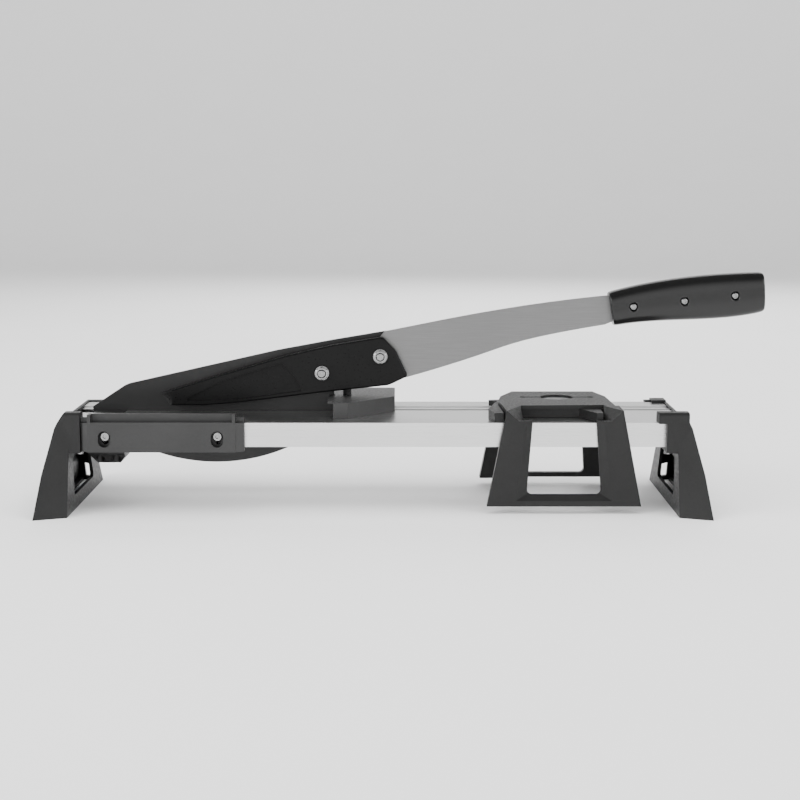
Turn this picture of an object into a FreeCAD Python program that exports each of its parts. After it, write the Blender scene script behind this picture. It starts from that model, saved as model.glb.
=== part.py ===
"""Lever cutter for soft floor tiles: a blade on a long lever shears through a slot in a table."""

import FreeCAD, Part
import math
import os
from FreeCAD import Vector

# Frame: X along the table, from the pivot end (-) to the handle end (+); Y from the user's side
# (-) to the back (+); Z up from the floor. Lengths are millimetres. Shapes are drawn about the
# middle of the table, and shifted on export so that the origin is under the middle of the tool.

# Table: two aluminium extrusions with the blade slot between them
TABLE_TOP = 75.0
RAIL_HEIGHT = 20.0
RAIL_HALF_LENGTH = 255.0
RAIL_WALL = 2.2
FRONT_RAIL_Y = (-59.0, 6.5)
REAR_RAIL_Y = (14.5, 59.0)
TABLE_UNDERSIDE = TABLE_TOP - RAIL_HEIGHT
CHANNEL_Y = (16.5, 33.0)
CHANNEL_DEPTH = 1.2

# Fixed lower blade on the back of the front rail
LOWER_BLADE_THICKNESS = 3.2
LOWER_BLADE_Z = (57.0, TABLE_TOP)
LOWER_BLADE_X = (-213.0, 254.0)
LOWER_BLADE_SCREWS_X = (-190.0, -60.0, 70.0, 200.0)

# Pivot of the lever
PIVOT_X = -228.0
PIVOT_Z = 60.0
PIN_RADIUS = 4.0
PIN_CLEARANCE = 0.05
BUSH_RADIUS = 5.5
PIVOT_SLOT_Y = (9.2, 13.8)
PIVOT_BLOCK_X = (-240.0, -214.0)
PIVOT_BLOCK_Z = (32.0, 75.0)
SHOULDER_X = (-245.0, -212.5)
PIVOT_BLOCK_SHOULDER_Y = (-14.0, 37.0)
PIVOT_BLOCK_CHEEK_Y = (-4.0, 24.0)

# Lever: blade, arm, covers and handle, stacked from front to back
COVER_THICKNESS = 8.0
ARM_Y = (5.0, 10.0)
BLADE_Y = (10.0, 13.0)
BELLY_CENTRE = (-137.0, 184.6)
BELLY_RADIUS = 155.0
BLADE_END_X = -35.0
HEEL_RADIUS = 10.5
LEVER_BOLTS = ((-44.8, 108.6), (4.9, 122.9))
LEVER_BOLT_RADIUS = 3.0
HANDLE_THICKNESS = 24.0
HANDLE_END_X = 331.0
HANDLE_SCREWS = ((219.1, 165.2), (262.1, 169.9), (304.8, 174.6))

# End feet, each a hollow moulding around the ends of the rails
FOOT_OUTER_X = 275.0
FOOT_INNER_X = 249.0
FOOT_HALF_DEPTH = 90.0
FOOT_POCKET_X = 239.6
FOOT_TOP_X = 258.0
FOOT_WAIST_Z = 50.0
SLEEVE_BOTTOM = 51.0
FOOT_CHEEK_Y = 65.5
FOOT_WALL = 3.0
CLIP_TOP = 84.0

# Guide bracket on the front rail, held through upright slots
GUIDE_X = (-239.2, -105.7)
GUIDE_RIBS_X = (-231.75, -113.75)
GUIDE_SCREWS_X = (-219.5, -127.5)
GUIDE_SCREW_Z = 64.4
GUIDE_BOTTOM = 52.0
GUIDE_LIP_TOP = 83.0
GUIDE_TRAVEL = 4.0

# Mitre stop block bridging the slot
STOP_FRONT_Y = -36.7
STOP_X = (-34.0, 17.2)
STOP_BACK_Y = 57.0
STOP_TOP = 88.0
STOP_MITRE_X = -22.0

# Sliding support: a bridge over the table with a framed leg in front and behind
SUPPORT_X = 156.4
SUPPORT_TOP = 86.0
SUPPORT_PLATE = 3.0
SUPPORT_FOOT_Z = 6.5
SUPPORT_FRONT_Y = (-65.8, -60.2)
SUPPORT_BACK_Y = (60.2, 66.0)
LOCK_Y = 12.1
LOCK_DISC_RADIUS = 13.5
LOCK_SCREW_RADIUS = 2.0

ORIGIN_SHIFT = Vector(-(HANDLE_END_X - FOOT_OUTER_X) / 2, 0, 0)

os.makedirs("parts", exist_ok=True)


def save(node, *shapes):
    """Write one node, moved so that the origin is under the middle of the whole tool."""
    shape = shapes[0] if len(shapes) == 1 else Part.makeCompound(list(shapes))
    shape.translated(ORIGIN_SHIFT).exportStep("parts/" + node + ".step")


def box(xs, ys, zs):
    """Box between three pairs of coordinates."""
    corner = Vector(min(xs), min(ys), min(zs))
    return Part.makeBox(abs(xs[1] - xs[0]), abs(ys[1] - ys[0]), abs(zs[1] - zs[0]), corner)


def rod_y(x, z, radius, y0, y1):
    """Cylinder along Y."""
    return Part.makeCylinder(radius, y1 - y0, Vector(x, y0, z), Vector(0, 1, 0))


def rod_z(x, y, radius, z0, z1):
    """Cylinder along Z."""
    return Part.makeCylinder(radius, z1 - z0, Vector(x, y, z0), Vector(0, 0, 1))


def hex_y(x, z, across_flats, y0, y1):
    """Hexagonal prism along Y."""
    corner = across_flats / math.sqrt(3)
    turns = [math.radians(60 * i) for i in range(6)]
    return prism_y([(x + corner * math.cos(t), z + corner * math.sin(t)) for t in turns], y0, y1)


def corner_edges(points, radii):
    """Edges of a closed outline whose corners are rounded with the given radii."""
    count = len(points)
    starts, ends, arcs = [], [], []
    for i, point in enumerate(points):
        to_last = (points[i - 1] - point).normalize()
        to_next = (points[(i + 1) % count] - point).normalize()
        half_angle = to_last.getAngle(to_next) / 2
        reach = radii[i] / math.tan(half_angle)
        start, end = point + to_last * reach, point + to_next * reach
        starts.append(start)
        ends.append(end)
        if radii[i]:
            middle = (to_last + to_next).normalize()
            centre = point + middle * (radii[i] / math.sin(half_angle))
            arcs.append(Part.Arc(start, centre - middle * radii[i], end).toShape())
    lines = [Part.makeLine(ends[i], starts[(i + 1) % count]) for i in range(count)]
    return lines + arcs


def outline(points, radii=0.0):
    """Wire through points, with one radius for all corners or one for each."""
    if not isinstance(radii, (list, tuple)):
        radii = [radii] * len(points)
    if not any(radii):
        return Part.makePolygon(points + [points[0]])
    return Part.Wire(Part.sortEdges(corner_edges(points, radii))[0])


def prism_y(points, y0, y1, radii=0.0):
    """Outline in the XZ plane, pushed along Y."""
    wire = outline([Vector(x, y0, z) for x, z in points], radii)
    return Part.Face(wire).extrude(Vector(0, y1 - y0, 0))


def prism_z(points, z0, z1, radii=0.0):
    """Outline in the XY plane, pushed along Z."""
    wire = outline([Vector(x, y, z0) for x, y in points], radii)
    return Part.Face(wire).extrude(Vector(0, 0, z1 - z0))


def prism_x(points, x0, x1, radii=0.0):
    """Outline in the YZ plane, pushed along X."""
    wire = outline([Vector(x0, y, z) for y, z in points], radii)
    return Part.Face(wire).extrude(Vector(x1 - x0, 0, 0))


def loft_z(levels):
    """Straight-sided solid through outlines, each given as (z, [(x, y), ...])."""
    wires = [outline([Vector(x, y, z) for x, y in points]) for z, points in levels]
    return Part.makeLoft(wires, True, True)


def curve(points, y):
    """Smooth edge through XZ points in the plane at y."""
    spline = Part.BSplineCurve()
    spline.interpolate([Vector(x, y, z) for x, z in points])
    return spline.toShape()


def slot_y(x, z0, z1, radius, y0, y1):
    """Upright round-ended slot along Y, from the lowest to the highest point."""
    block = box((x - radius, x + radius), (y0, y1), (z0 + radius, z1 - radius))
    return block.fuse([rod_y(x, z0 + radius, radius, y0, y1), rod_y(x, z1 - radius, radius, y0, y1)])


def face_edges(shape, y):
    """Edges lying wholly in the plane at y."""
    return [e for e in shape.Edges if abs(e.BoundBox.YMin - y) < 0.01 and abs(e.BoundBox.YMax - y) < 0.01]


def mirrored(shape):
    """The same shape at the other end of the table."""
    return shape.mirror(Vector(0, 0, 0), Vector(1, 0, 0))


# Rails ------------------------------------------------------------------------------------

def rail(ys, webs):
    """Hollow extrusion with upright webs, cut back around the pivot block."""
    whole = box((-RAIL_HALF_LENGTH, RAIL_HALF_LENGTH), ys, (TABLE_UNDERSIDE, TABLE_TOP))
    edges = [ys[0] + RAIL_WALL / 2] + list(webs) + [ys[1] - RAIL_WALL / 2]
    for left, right in zip(edges, edges[1:]):
        room = (left + RAIL_WALL / 2, right - RAIL_WALL / 2)
        length = (-RAIL_HALF_LENGTH - 1, RAIL_HALF_LENGTH + 1)
        whole = whole.cut(box(length, room, (TABLE_UNDERSIDE + RAIL_WALL, TABLE_TOP - RAIL_WALL)))
    notch_x = (-RAIL_HALF_LENGTH - 1, PIVOT_BLOCK_X[1] + 0.5)
    notch_y = (PIVOT_BLOCK_CHEEK_Y[0] - 0.3, PIVOT_BLOCK_CHEEK_Y[1] + 0.3)
    return whole.cut(box(notch_x, notch_y, (TABLE_UNDERSIDE - 1, TABLE_TOP + 1)))


FOOT_SCREWS = [(x, y) for x in (-244.4, 244.4) for y in (-45.0, 45.0)]
BLOCK_SCREWS = [(x, y) for x in (-234.0, -220.0) for y in (-9.0, 30.0)]

front_rail = rail(FRONT_RAIL_Y, (-37.0, -16.0))
rear_rail = rail(REAR_RAIL_Y, (34.0,))
channel = box((-RAIL_HALF_LENGTH - 1, RAIL_HALF_LENGTH + 1), CHANNEL_Y,
              (TABLE_TOP - CHANNEL_DEPTH, TABLE_TOP + 1))
rear_rail = rear_rail.cut(channel)
for x, y in FOOT_SCREWS + BLOCK_SCREWS:
    hole = rod_z(x, y, 2.0, TABLE_UNDERSIDE - 1, TABLE_UNDERSIDE + RAIL_WALL + 0.5)
    front_rail = front_rail.cut(hole)
    rear_rail = rear_rail.cut(hole)
for x in GUIDE_SCREWS_X:
    front_rail = front_rail.cut(slot_y(x, GUIDE_SCREW_Z - 7.0, GUIDE_SCREW_Z + 2.5, 2.5, -60.0, -50.0))
for x in LOWER_BLADE_SCREWS_X:
    front_rail = front_rail.cut(rod_y(x, 66.0, 2.0, 3.0, 7.0))
save("front_rail", front_rail)
save("rear_rail", rear_rail)

# Lower blade ------------------------------------------------------------------------------

lower_y = (FRONT_RAIL_Y[1], FRONT_RAIL_Y[1] + LOWER_BLADE_THICKNESS)
lower_blade = box(LOWER_BLADE_X, lower_y, LOWER_BLADE_Z)


def flat_head_screw(x, shrink=0.0):
    """Countersunk screw in the back face of the lower blade, pointing forwards."""
    head = Part.makeCone(2.0, 3.8 - shrink, 1.8, Vector(x, lower_y[1] - 1.8, 66.0), Vector(0, 1, 0))
    return head.fuse(rod_y(x, 66.0, 2.0, -6.0, lower_y[1] - 1.8))


lower_screws = []
for x in LOWER_BLADE_SCREWS_X:
    lower_blade = lower_blade.cut(flat_head_screw(x))
    drive = hex_y(x, 66.0, 2.4, lower_y[1] - 1.3, lower_y[1] + 1)
    lower_screws.append(flat_head_screw(x, 0.1).cut(drive))
save("lower_blade", lower_blade)
save("lower_blade_screws", *lower_screws)

# Pivot block, pin, bush and washers -------------------------------------------------------

shoulders = box(SHOULDER_X, PIVOT_BLOCK_SHOULDER_Y, (PIVOT_BLOCK_Z[0], TABLE_UNDERSIDE))
cheeks = box(PIVOT_BLOCK_X, PIVOT_BLOCK_CHEEK_Y, (TABLE_UNDERSIDE - 1, PIVOT_BLOCK_Z[1]))
pivot_block = shoulders.fuse(cheeks).removeSplitter()
bevel = prism_x([(-15.0, 42.0), (-5.0, 31.0), (-15.0, 31.0)], -246.0, -212.0)
end_bevel = prism_y([(-246.0, 45.0), (-236.0, 31.0), (-246.0, 31.0)], -15.0, 38.0)
far_bevel = prism_y([(-212.0, 39.0), (-212.0, 31.0), (-218.0, 31.0)], -15.0, 38.0)
blade_room = box((-246.0, -212.0), PIVOT_SLOT_Y, (PIVOT_Z - 14.0, 77.0))
pivot_block = pivot_block.cut([bevel, end_bevel, far_bevel, blade_room])
pivot_block = pivot_block.cut(rod_y(PIVOT_X, PIVOT_Z, PIN_RADIUS, -5.0, 25.0))
for x, y in BLOCK_SCREWS:
    pivot_block = pivot_block.cut(rod_z(x, y, 2.0, 31.0, 56.0))
    pivot_block = pivot_block.cut(rod_z(x, y, 3.8, 31.0, 46.0))
save("pivot_block", pivot_block)
save("pivot_pin", rod_y(PIVOT_X, PIVOT_Z, PIN_RADIUS, *PIVOT_BLOCK_CHEEK_Y))


def ring_y(x, z, inner, outer, y0, y1):
    """Washer or bush along Y."""
    return rod_y(x, z, outer, y0, y1).cut(rod_y(x, z, inner, y0 - 1, y1 + 1))


save("pivot_bush", ring_y(PIVOT_X, PIVOT_Z, PIN_RADIUS + PIN_CLEARANCE, BUSH_RADIUS, *BLADE_Y))
save("pivot_washers",
     ring_y(PIVOT_X, PIVOT_Z, PIN_RADIUS + 0.1, 8.0, PIVOT_SLOT_Y[0] + 0.05, BLADE_Y[0] - 0.15),
     ring_y(PIVOT_X, PIVOT_Z, PIN_RADIUS + 0.1, 8.0, BLADE_Y[1] + 0.15, PIVOT_SLOT_Y[1] - 0.05))


def cap_screw_up(x, y, z0, z1, head_radius=3.5, head_height=4.0):
    """Socket cap screw pointing up, its head below z0."""
    head = rod_z(x, y, head_radius, z0 - head_height, z0)
    return head.fuse(rod_z(x, y, 2.0, z0, z1)).cut(socket_z(x, y, z0 - head_height - 1, 3.0))


def socket_z(x, y, z, depth):
    """Hexagon socket cut along Z."""
    corner = 3.0 / math.sqrt(3)
    turns = [math.radians(60 * i) for i in range(6)]
    return prism_z([(x + corner * math.cos(t), y + corner * math.sin(t)) for t in turns], z, z + depth)


save("pivot_block_screws", *[cap_screw_up(x, y, 46.0, 62.0) for x, y in BLOCK_SCREWS])

# Feet -------------------------------------------------------------------------------------

# Corners of the leg at four heights: outer wall x, inner wall x, and the front and back ends
# of each wall. The front face is one leaning plane; the back end of the inner wall leans more.
LEG_LEVELS = (
    (0.0, FOOT_OUTER_X, 249.0, -90.0, -80.0, 80.0, 90.0),
    (35.0, 269.2, 249.0, -78.8, -70.7, 50.0, 78.8),
    (FOOT_WAIST_Z, 265.6, 249.0, -73.4, -66.7, 37.0, 73.4),
    (71.4, 260.4, 249.0, -65.6, -61.1, 61.1, 65.6),
)


def leg_section(level, inset=0.0):
    """Four-sided outline of the leg at one level, drawn in by the wall thickness."""
    z, outer, inner, outer_front, inner_front, inner_back, outer_back = level
    outer, inner = outer - inset, inner + inset
    return (z, [(outer, outer_front + 1.3 * inset), (inner, inner_front + 1.3 * inset),
                (inner, inner_back - 1.6 * inset), (outer, outer_back - 1.6 * inset)])


def clip(x0, x1):
    """Rounded hook over the front edge of the table."""
    points = [(-50.0, TABLE_TOP + 0.1), (-FOOT_CHEEK_Y, TABLE_TOP + 0.1), (-FOOT_CHEEK_Y, CLIP_TOP),
              (-50.0, CLIP_TOP)]
    return prism_x(points, x0, x1, [0, 0, 3, 4])


def right_foot():
    """Foot at the handle end: splayed hollow leg, collar around the rails and two clips."""
    leg = loft_z([leg_section(level) for level in LEG_LEVELS])
    sleeve = prism_y([(FOOT_POCKET_X, SLEEVE_BOTTOM), (265.3, SLEEVE_BOTTOM), (260.4, 71.4),
                      (FOOT_TOP_X, 76.0), (FOOT_POCKET_X, 76.0)], -FOOT_CHEEK_Y, FOOT_CHEEK_Y)
    foot = leg.fuse(sleeve).removeSplitter()
    rail_room = box((FOOT_POCKET_X - 1, RAIL_HALF_LENGTH + 0.2), (-59.1, 59.1),
                    (TABLE_UNDERSIDE - 0.1, 80.0))
    foot = foot.cut(rail_room)
    cavity = loft_z([leg_section(level, FOOT_WALL) for level in LEG_LEVELS[:3]])
    below = loft_z([(-1.0, leg_section(LEG_LEVELS[0], FOOT_WALL)[1]),
                    (0.5, leg_section(LEG_LEVELS[0], FOOT_WALL)[1])])
    foot = foot.cut([cavity, below])
    sole = box((266.0, 273.0), (-78.0, 76.0), (0.0, 3.0))
    back_opening = box((252.5, 264.5), (35.0, 95.0), (4.0, 17.0))
    foot = foot.fuse(sole).cut(back_opening)
    window = prism_x([(-46.0, 12.0), (37.0, 12.0), (19.0, 45.0), (-51.0, 45.0)], 248.0, 253.0, 3.0)
    return foot.cut(window)


plain_foot = right_foot()
screw_holes = [rod_z(x, y, 2.3, 45.0, 56.0) for x, y in FOOT_SCREWS]
rear_lip = box((245.0, FOOT_TOP_X - 0.5), (50.0, FOOT_CHEEK_Y), (TABLE_TOP + 0.1, 77.5))
end_slope = prism_y([(252.0, 85.0), (FOOT_TOP_X, 76.0), (262.0, 76.0), (262.0, 85.0)], -70.0, -45.0)
right_body = plain_foot.fuse([clip(233.0, FOOT_TOP_X), rear_lip]).cut(screw_holes)
left_clip = clip(FOOT_POCKET_X, FOOT_TOP_X).cut(end_slope)
block_room = [box((-255.2, -239.0), (-5.0, 25.0), (FOOT_WAIST_Z - 1, TABLE_TOP)),
              box((-245.6, -239.0), (-14.6, 37.6), (FOOT_WAIST_Z, 56.0))]
left_body = mirrored(plain_foot.fuse(left_clip)).cut(screw_holes + block_room)
rails_solid = box((-RAIL_HALF_LENGTH - 0.2, RAIL_HALF_LENGTH + 0.2), (-59.1, 59.1),
                  (TABLE_UNDERSIDE - 0.1, TABLE_TOP + 0.1))
save("right_foot", right_body.cut(rails_solid).removeSplitter())
save("left_foot", left_body.cut(rails_solid).removeSplitter())
save("foot_screws", *[cap_screw_up(x, y, SLEEVE_BOTTOM, 61.0) for x, y in FOOT_SCREWS])

# Guide bracket ----------------------------------------------------------------------------

back_y, back_front_y, front_back_y, front_y = -59.3, -61.9, -66.0, -68.0
rib_left, rib_right = GUIDE_RIBS_X
wing_left, wing_right = GUIDE_X
guide = box(GUIDE_X, (back_front_y, back_y), (GUIDE_BOTTOM, TABLE_TOP + 5))
wing_outlines = [[(rib_x, front_y), (rib_x, front_back_y), (wing_x, back_front_y + 0.5),
                  (wing_x, back_front_y - 1.6)]
                 for rib_x, wing_x in ((rib_left + 1, wing_left), (rib_right - 1, wing_right))]
guide = guide.fuse([
    box((rib_left, rib_right), (back_front_y, back_y), (GUIDE_BOTTOM, GUIDE_LIP_TOP)),
    box((rib_left, rib_right), (front_y, front_back_y), (GUIDE_BOTTOM, TABLE_TOP + 1.7)),
    box((rib_left, rib_right), (front_y, back_y), (GUIDE_BOTTOM, GUIDE_BOTTOM + 2))])
guide = guide.fuse([prism_z(points, GUIDE_BOTTOM, TABLE_TOP + 1) for points in wing_outlines])
for x in GUIDE_RIBS_X:
    guide = guide.fuse(box((x - 1.25, x + 1.25), (front_y, back_y), (GUIDE_BOTTOM, GUIDE_LIP_TOP)))
guide = guide.removeSplitter()
for x in GUIDE_SCREWS_X:
    access = slot_y(x, GUIDE_SCREW_Z - 8.4, GUIDE_SCREW_Z + 5.0, 5.0, front_y - 1, back_front_y - 0.01)
    shank = slot_y(x, GUIDE_SCREW_Z - 2.8 - GUIDE_TRAVEL, GUIDE_SCREW_Z + 2.8, 2.8,
                   back_front_y - 1, back_y + 1)
    guide = guide.cut([access, shank])
save("guide_bracket", guide)


def button_screw(x, z, y_face, y_end, head_radius=4.1, shank=2.5):
    """Low round-headed screw along +Y, its head in front of y_face, with a hexagon socket."""
    head = rod_y(x, z, head_radius, y_face - 2.6, y_face)
    head = head.makeFillet(1.2, face_edges(head, y_face - 2.6))
    return head.fuse(rod_y(x, z, shank, y_face, y_end)).cut(hex_y(x, z, 3.0, y_face - 3, y_face - 1))


save("guide_screws", *[button_screw(x, GUIDE_SCREW_Z, back_front_y - 0.05, -50.0) for x in GUIDE_SCREWS_X])

# Stop block, its clamp plate, screws and the lever's rubber bumper -------------------------

stop_left, stop_right = STOP_X
stop_z = (TABLE_TOP + 0.1, STOP_TOP)
STOP_CORNER_Y = STOP_FRONT_Y + stop_right - STOP_MITRE_X
stop_block = prism_z([(stop_left, STOP_FRONT_Y), (STOP_MITRE_X, STOP_FRONT_Y), (stop_right, STOP_CORNER_Y),
                      (stop_right, STOP_BACK_Y), (stop_left, STOP_BACK_Y)], *stop_z, [0, 0, 2, 3, 1])
flange = box((stop_left - 5, stop_left + 1), (STOP_FRONT_Y + 10, STOP_BACK_Y), (STOP_TOP - 2, STOP_TOP))
blade_gap_y = (PIVOT_SLOT_Y[0] - 0.2, PIVOT_SLOT_Y[1] + 0.2)
blade_gap = box((stop_left - 6, stop_left), blade_gap_y, (STOP_TOP - 3, STOP_TOP + 1))
stop_block = stop_block.fuse(flange).cut(blade_gap).removeSplitter()
STOP_SCREWS_X = (-14.0, 10.0)
for x in STOP_SCREWS_X:
    stop_block = stop_block.cut(rod_z(x, LOCK_Y, 2.0, 70.0, 84.0))
BUMPER_X, BUMPER_Y, BUMPER_RADIUS = -24.0, 17.0, 3.6
stop_block = stop_block.cut(rod_z(BUMPER_X, BUMPER_Y, BUMPER_RADIUS, STOP_TOP - 4, STOP_TOP + 1))
save("stop_block", stop_block)
save("stop_block_screws", *[cap_screw_up(x, LOCK_Y, 50.9, 84.0) for x in STOP_SCREWS_X])
clamp_plate = box((-32.0, 16.0), (2.0, 24.0), (51.0, TABLE_UNDERSIDE))
save("stop_block_clamp", clamp_plate.cut([rod_z(x, LOCK_Y, 2.0, 50.0, 56.0) for x in STOP_SCREWS_X]))
save("lever_bumper", rod_z(BUMPER_X, BUMPER_Y, BUMPER_RADIUS, STOP_TOP - 4, 93.0))

# Blade ------------------------------------------------------------------------------------


def belly_z(x):
    """Height of the round cutting edge at x."""
    return BELLY_CENTRE[1] - math.sqrt(BELLY_RADIUS ** 2 - (x - BELLY_CENTRE[0]) ** 2)


blade_front, blade_back = BLADE_Y
heel_x = PIVOT_X + 6.0
tip, shoulder = (-243.0, 78.0), (-215.0, 96.5)
top_line = [tip, shoulder, (-210.6, 98.3), (-82.8, 127.2), (-35.3, 136.0), (10.0, 143.6)]
end_line = [(10.0, 143.6), (18.0, 126.0), (22.0, 109.0), (12.0, 100.5), (BLADE_END_X, 95.5),
            (BLADE_END_X, belly_z(BLADE_END_X))]
heel_line = [(heel_x, belly_z(heel_x)), (PIVOT_X - HEEL_RADIUS, PIVOT_Z), tip]
blade_points = [[Vector(x, blade_front, z) for x, z in line] for line in (top_line, end_line, heel_line)]
belly = Part.Arc(blade_points[1][-1],
                 Vector(BELLY_CENTRE[0], blade_front, BELLY_CENTRE[1] - BELLY_RADIUS),
                 blade_points[2][0]).toShape()
blade_edges = [Part.makePolygon(line).Edges for line in blade_points]
blade_wire = Part.Wire(Part.sortEdges(sum(blade_edges, []) + [belly])[0])
blade = Part.Face(blade_wire).extrude(Vector(0, blade_back - blade_front, 0))
blade = blade.fuse(rod_y(PIVOT_X, PIVOT_Z, HEEL_RADIUS, blade_front, blade_back)).removeSplitter()
bolt_holes = [rod_y(x, z, LEVER_BOLT_RADIUS + 0.1, -20.0, 40.0) for x, z in LEVER_BOLTS]
blade = blade.cut(bolt_holes + [rod_y(PIVOT_X, PIVOT_Z, BUSH_RADIUS, 0.0, 30.0)])
save("blade", blade)

# Lever arm --------------------------------------------------------------------------------

arm_front, arm_back = ARM_Y
ARM_TOP = [(8.4, 143.3), (41.8, 150.1), (89.8, 159.2),
           (148.5, 168.4), (196.0, 173.9)]
ARM_BOTTOM = [(196.0, 149.4), (148.7, 140.8), (115.1, 132.3), (90.0, 123.6), (60.0, 113.8), (26.0, 103.8)]
arm_top = curve(ARM_TOP, arm_front)
arm_bottom = curve(ARM_BOTTOM, arm_front)
hidden = [ARM_BOTTOM[-1], (0.0, 103.0), (-60.0, 98.0), (-60.0, 118.0), (0.0, 133.0), ARM_TOP[0]]
TANG_TOP = [ARM_TOP[-1], (207.0, 174.5), (262.0, 182.0), (321.0, 186.0)]
TANG_BOTTOM = [(321.0, 166.0), (262.0, 159.5), (210.0, 155.0), ARM_BOTTOM[0]]
closing = Part.makePolygon([Vector(x, arm_front, z) for x, z in TANG_TOP + TANG_BOTTOM]).Edges
hidden_edges = Part.makePolygon([Vector(x, arm_front, z) for x, z in hidden]).Edges
arm_wire = Part.Wire(Part.sortEdges([arm_top, arm_bottom] + closing + hidden_edges)[0])
arm = Part.Face(arm_wire).extrude(Vector(0, arm_back - arm_front, 0))
handle_holes = [rod_y(x, z, 2.0, -20.0, 40.0) for x, z in HANDLE_SCREWS]
save("lever_arm", arm.cut(bolt_holes + handle_holes))

# Covers on both sides of the blade's root --------------------------------------------------

COVER = [(-182.8, 90.7), (-129.3, 107.6), (-74.1, 123.9), (-34.8, 132.9), (7.0, 139.6), (18.5, 127.2),
         (28.4, 106.0), (12.0, 98.2), (-42.9, 92.3), (-113.9, 83.5), (-145.5, 80.9), (-173.9, 80.9)]
COVER_RADII = [0, 30, 60, 40, 5, 12, 2.5, 20, 40, 20, 20, 0]
PANEL = [(-166.0, 84.2), (-129.4, 102.0), (-78.8, 117.2), (-68.0, 106.0), (-61.6, 93.6), (-113.9, 86.3)]
PANEL_RADII = [1.5, 15, 1.5, 15, 1.5, 15]


def cover(y_inner, y_outer):
    """Moulded cover from its flat inner face to its outer face, with a sunk panel."""
    side = 1 if y_outer > y_inner else -1
    body = prism_y(COVER, y_inner, y_outer, COVER_RADII)
    body = body.makeChamfer(1.2, face_edges(body, y_outer))
    wedge = Part.makePolygon([Vector(-185, y_outer + side, 70), Vector(-185, y_inner + 1.5 * side, 70),
                              Vector(-170, y_outer + side, 70), Vector(-185, y_outer + side, 70)])
    body = body.cut(Part.Face(wedge).extrude(Vector(0, 0, 40)))
    body = body.cut(prism_y(PANEL, y_outer - 2.0 * side, y_outer + side, PANEL_RADII))
    seats = [rod_y(x, z, 6.6, *sorted((y_outer - 1.5 * side, y_outer + side))) for x, z in LEVER_BOLTS]
    return body.cut(bolt_holes + seats)


front_cover_y = (ARM_Y[0], ARM_Y[0] - COVER_THICKNESS)
rear_cover_y = (BLADE_Y[1], BLADE_Y[1] + COVER_THICKNESS)
save("front_cover", cover(*front_cover_y))
save("rear_cover", cover(*rear_cover_y))

# Lever bolts: heads behind, nuts in front
washer_y = front_cover_y[1] + 1.5
bolts, nuts, washers = [], [], []
for x, z in LEVER_BOLTS:
    head_y = rear_cover_y[1] - 1.5
    bolt = rod_y(x, z, LEVER_BOLT_RADIUS, washer_y - 6.5, head_y)
    head = rod_y(x, z, 5.2, head_y, head_y + 3.4)
    bolts.append(bolt.fuse(head).cut(hex_y(x, z, 4.0, head_y + 1.4, head_y + 5)))
    washers.append(ring_y(x, z, LEVER_BOLT_RADIUS + 0.2, 6.2, washer_y - 1.0, washer_y))
    nut = hex_y(x, z, 10.0, washer_y - 5.6, washer_y - 1.0).cut(rod_y(x, z, LEVER_BOLT_RADIUS, -20, 20))
    cone = Part.makeCone(4.6, 9.2, 4.6, Vector(x, washer_y - 5.6, z), Vector(0, 1, 0))
    nuts.append(nut.common(cone))
save("lever_bolts", *bolts)
save("lever_nuts", *nuts)
save("lever_washers", *washers)

# Handle -----------------------------------------------------------------------------------

GRIP = [(198.2, 176.9), (231.7, 184.8), (262.0, 189.5), (329.4, 194.0), (HANDLE_END_X, 160.6),
        (300.0, 155.6), (266.0, 153.4), (238.0, 152.5), (203.2, 148.3)]
GRIP_RADII = [0, 150, 300, 7, 5, 200, 300, 150, 0]
middle_y = (ARM_Y[0] + ARM_Y[1]) / 2


def scale(y_outer):
    """One half of the handle, hollowed for the arm's tang, with rounded outer edges."""
    half = prism_y(GRIP, middle_y, y_outer, GRIP_RADII)
    half = half.makeFillet(4.0, face_edges(half, y_outer))
    tang = Part.makePolygon([Vector(x, arm_front, z) for x, z in
                             [(190.0, 173.2), (197.0, 174.2)] + TANG_TOP[1:] + TANG_BOTTOM[:-1]
                             + [(197.0, 149.8), (190.0, 148.4), (190.0, 173.2)]])
    tang_room = Part.Face(tang.makeOffset2D(0.3)).extrude(Vector(0, arm_back - arm_front, 0))
    seats = []
    for x, z in HANDLE_SCREWS:
        depth = 3.0 if y_outer < middle_y else 3.6
        inward, seat_radius = (1, 3.5) if y_outer < middle_y else (-1, 4.4)
        seats.append(rod_y(x, z, seat_radius, *sorted((y_outer, y_outer + depth * inward))))
    return half.cut([tang_room] + handle_holes + seats)


grip_front, grip_back = middle_y - HANDLE_THICKNESS / 2, middle_y + HANDLE_THICKNESS / 2
save("front_handle_scale", scale(grip_front))
save("rear_handle_scale", scale(grip_back))
handle_screws, handle_nuts = [], []
for x, z in HANDLE_SCREWS:
    seat = grip_front + 3.0
    handle_screws.append(button_screw(x, z, seat, grip_back - 4.2, 2.8, 1.9))
    nut = hex_y(x, z, 7.0, grip_back - 3.6, grip_back - 0.6)
    handle_nuts.append(nut.cut(rod_y(x, z, 2.0, 0, 30)))
save("handle_screws", *handle_screws)
save("handle_nuts", *handle_nuts)

# Sliding support --------------------------------------------------------------------------


def at_support(points):
    """Points given from the middle of the support, moved to its place on the table."""
    return [(x + SUPPORT_X, y) for x, y in points]


PLATE = [(-47.6, -65.8), (-51.0, -7.0), (-48.0, 17.0), (-36.0, 47.0), (35.0, 47.0), (42.5, 17.0),
         (44.5, -41.0), (47.6, -65.8), (35.5, -33.0), (-34.0, -36.5)]
plate = prism_z(at_support(PLATE), SUPPORT_TOP - SUPPORT_PLATE, SUPPORT_TOP)


def trapezium(low, half_low, half_high, head):
    """Corners of an upright window, from its bottom right."""
    return [(SUPPORT_X + half_low, low), (SUPPORT_X - half_low, low), (SUPPORT_X - half_high, head),
            (SUPPORT_X + half_high, head)]


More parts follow.
